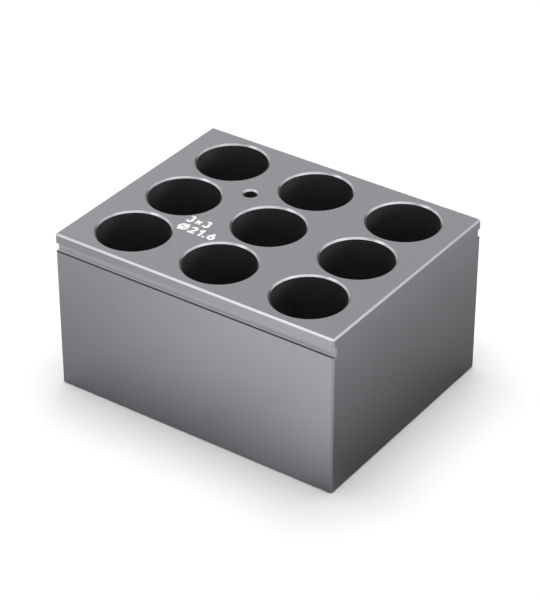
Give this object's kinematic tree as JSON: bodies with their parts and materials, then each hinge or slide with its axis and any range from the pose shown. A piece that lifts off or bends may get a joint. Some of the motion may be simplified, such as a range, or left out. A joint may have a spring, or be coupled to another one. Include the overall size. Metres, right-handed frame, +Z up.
{
  "type": "heating block",
  "caption": "Rectangular aluminium block with round flat-bottomed vial wells, a slim sensor bore and lifting grooves along its long sides, which stands in a dry block heater.",
  "frame": {"origin": "centre of the underside", "axes": "+X along the block, +Y from the front long side to the rear one, +Z up out of the wells"},
  "size_m": [0.095, 0.076, 0.051],
  "materials": {
    "anodised_aluminium": "fine satin, grey anodised, with bright chamfers",
    "white_ink": "thin matt screen print"
  },
  "bodies": {
    "root": {"heating_block": "anodised_aluminium", "printed_mark": "white_ink"}
  },
  "joints": []
}
